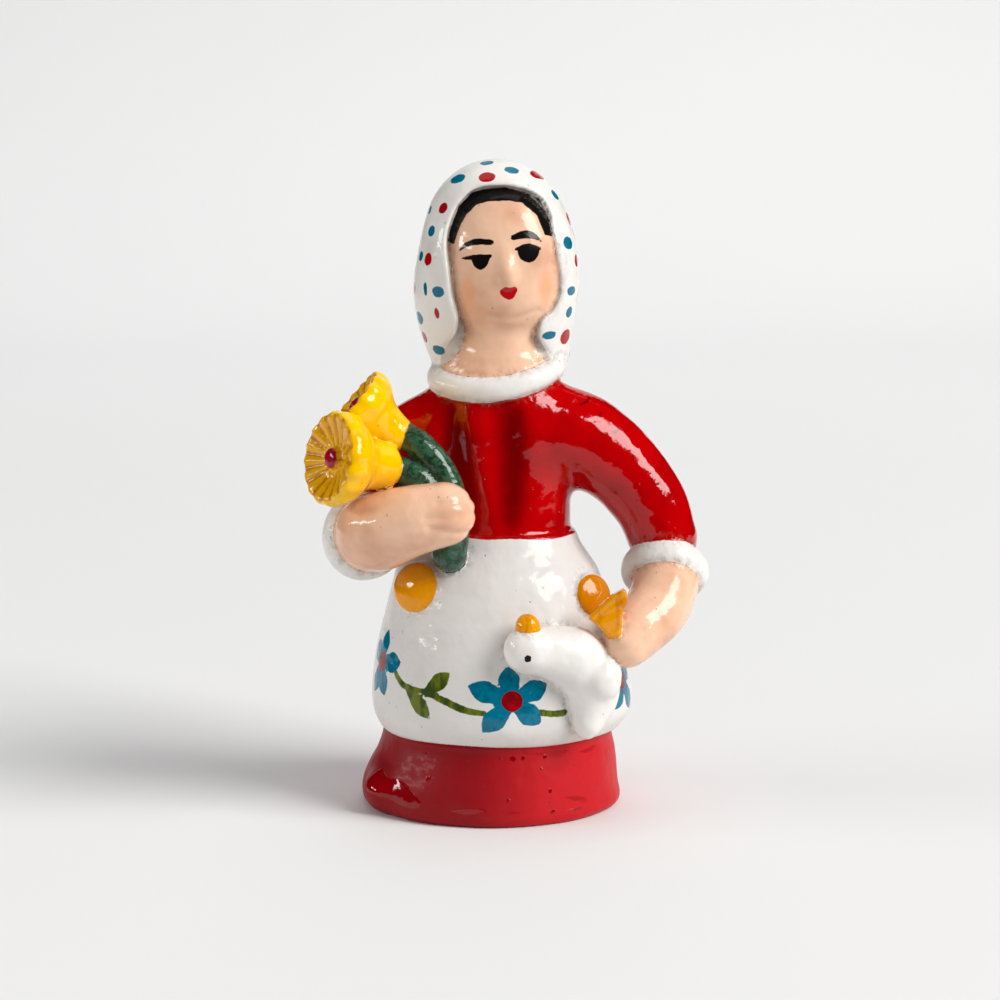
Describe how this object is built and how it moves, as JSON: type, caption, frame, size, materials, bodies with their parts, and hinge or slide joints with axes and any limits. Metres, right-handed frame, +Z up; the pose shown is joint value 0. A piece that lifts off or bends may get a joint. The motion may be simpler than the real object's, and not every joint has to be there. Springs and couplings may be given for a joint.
{
  "type": "ceramic figurine",
  "caption": "Hand-modelled glazed ceramic figurine of a peasant woman in a headscarf and apron, holding trumpet flowers in one arm and a duck by its feet in the other hand.",
  "frame": {"origin": "middle of the flat underside of the skirt", "axes": "+Z up along the standing figure, the figure faces -Y, its arm with the duck is on the +X side"},
  "size_m": [0.0924, 0.0639, 0.15],
  "materials": {
    "painted_ceramic": "hand-painted in red, white, flesh, yellow, green and blue under a thick glossy lacquer"
  },
  "bodies": {
    "root": {"figurine": "painted_ceramic"}
  },
  "joints": []
}
